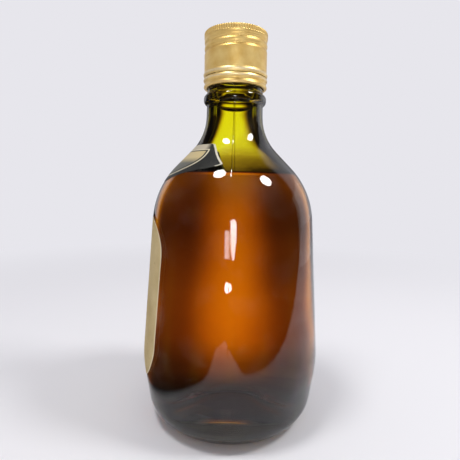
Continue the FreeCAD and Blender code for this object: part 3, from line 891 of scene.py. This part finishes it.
narrower = node(tree, "ShaderNodeMapRange", {
    "Value": along.outputs["Z"], "From Min": -0.4, "From Max": -0.2, "To Min": 2.5, "To Max": 5.0})
low_peak = node(tree, "ShaderNodeMath", {
    0: low_swing.outputs["Result"], 1: narrower.outputs["Result"]}, operation="POWER")
low_cards = node(tree, "ShaderNodeMapRange", {
    "Value": low_peak.outputs["Value"], "To Min": table_glow.outputs["Result"], "To Max": 1.0})
high_swing = ring_of_cards(tree, towards, high_card_count, high_card_turn)
high_sides = node(tree, "ShaderNodeMapRange", {
    "Value": high_swing, "From Min": math.cos(high_card_count * high_card_half_width),
    "From Max": math.cos(high_card_count * high_card_core), "To Min": gap_level, "To Max": 1.0},
    interpolation_type="SMOOTHSTEP")
bowed = node(tree, "ShaderNodeMath", {
    0: high_swing, 1: high_card_bow, 2: along.outputs["Z"]}, operation="MULTIPLY_ADD")
high_foot = node(tree, "ShaderNodeMapRange", {
    "Value": bowed.outputs["Value"], "From Min": 0.14, "From Max": 0.28, "To Min": gap_level,
    "To Max": 1.0})
high_cards = node(tree, "ShaderNodeMath", {
    0: high_sides.outputs["Result"], 1: high_foot.outputs["Result"]}, operation="MULTIPLY")
carded = node(tree, "ShaderNodeMix", {
    0: is_up.outputs["Result"], 2: low_cards.outputs["Result"], 3: high_cards.outputs["Value"]})
horizon = node(tree, "ShaderNodeValToRGB", {"Fac": rise.outputs["Result"]})
for rising, level in horizon_levels:
    stop = horizon.color_ramp.elements.new(0.5 + rising / 2)
    stop.color = (level, level, level, 1)
for end in (0, -1):
    horizon.color_ramp.elements[end].color = (horizon_end, horizon_end, horizon_end, 1)
through = node(tree, "ShaderNodeMath", {
    0: carded.outputs[0], 1: horizon.outputs["Color"]}, operation="MULTIPLY")
bounced = node(tree, "ShaderNodeMapRange", {
    "Value": path.outputs["Glossy Depth"], "To Min": 1.0, "To Max": bounce_level})
dimmed = node(tree, "ShaderNodeMath", {
    0: through.outputs["Value"], 1: bounced.outputs["Result"]}, operation="MULTIPLY")
level_through = node(tree, "ShaderNodeMix", {
    0: path.outputs["Is Transmission Ray"], 2: level_mirror.outputs[0], 3: dimmed.outputs["Value"]})
strength = node(tree, "ShaderNodeMix", {
    0: path.outputs["Is Camera Ray"], 2: level_through.outputs[0], 3: 1.0})
warm = node(tree, "ShaderNodeMix", {
    0: through.outputs["Value"], 6: linear("FFC08C"), 7: linear("FFFFFF")}, data_type="RGBA")
tint = node(tree, "ShaderNodeMix", {
    0: path.outputs["Is Transmission Ray"], 6: room_colour, 7: warm.outputs[2]}, data_type="RGBA")
sky = node(tree, "ShaderNodeBackground", {"Color": tint.outputs[2], "Strength": strength.outputs[0]})
node(tree, "ShaderNodeOutputWorld", {"Surface": sky.outputs["Background"]})


def add_lamp(name, place, target, shape, size, height, power, spread=180):
    """Hang an area lamp that points at a place, out of sight of the camera and of what glass refracts."""
    bpy.ops.object.light_add(type="AREA", location=place)
    lamp = bpy.context.object
    lamp.name = name
    lamp.data.shape = shape
    lamp.data.size = size
    lamp.data.size_y = height
    lamp.data.energy = power
    lamp.data.spread = math.radians(spread)
    lamp.rotation_euler = (Vector(target) - Vector(place)).to_track_quat("-Z", "Y").to_euler()
    lamp.visible_camera = False
    lamp.visible_transmission = False


# Each lamp has its place and target, shape, width, height, power in watts and, for the front panels, a
# narrow spread that keeps their light off the floor.
shoulder = (0, 0, 0.12)
belly = (0, 0, 0.10)
low_belly = (0, 0, 0.08)
narrow = 50
add_lamp("left_lamp", (0.20, -0.24, 0.97), shoulder, "DISK", 0.22, 0.22, 3.1)
add_lamp("right_lamp", (0.14, 0.54, 0.84), shoulder, "DISK", 0.22, 0.22, 3.1)
add_lamp("rim_panel", (-0.28, 0.52, 0.16), belly, "RECTANGLE", 0.40, 0.40, 0.22)
add_lamp("front_panel", (0.54, 0.013, 0.135), belly, "ELLIPSE", 0.07, 0.155, 0.034, narrow)
add_lamp("front_glow", (0.54, -0.055, 0.088), belly, "RECTANGLE", 0.073, 0.05, 0.0065, narrow)
add_lamp("low_panel", (0.54, -0.04, 0.014), low_belly, "ELLIPSE", 0.09, 0.022, 0.0085, narrow)

# Camera: held close in front of the bottle's side, a little below the level of the contents, tipped
# down and rolled a touch, so that the bottle leans to the right.
camera_place = (0.201, -0.00127, 0.1247)
tip_down = math.radians(7.26)
roll = math.radians(1.10)
eye = bpy.data.cameras.new("camera")
eye.lens = 29.74
eye.sensor_width = 36.0
eye.clip_start = 0.01
camera = bpy.data.objects.new("camera", eye)
bpy.context.scene.collection.objects.link(camera)
camera.matrix_world = (
    Matrix.Translation(camera_place) @ Matrix.Rotation(math.radians(90), 4, "Z")
    @ Matrix.Rotation(math.radians(90) - tip_down, 4, "X") @ Matrix.Rotation(roll, 4, "Z"))
bpy.context.scene.camera = camera
bpy.context.scene.view_settings.view_transform = "Standard"
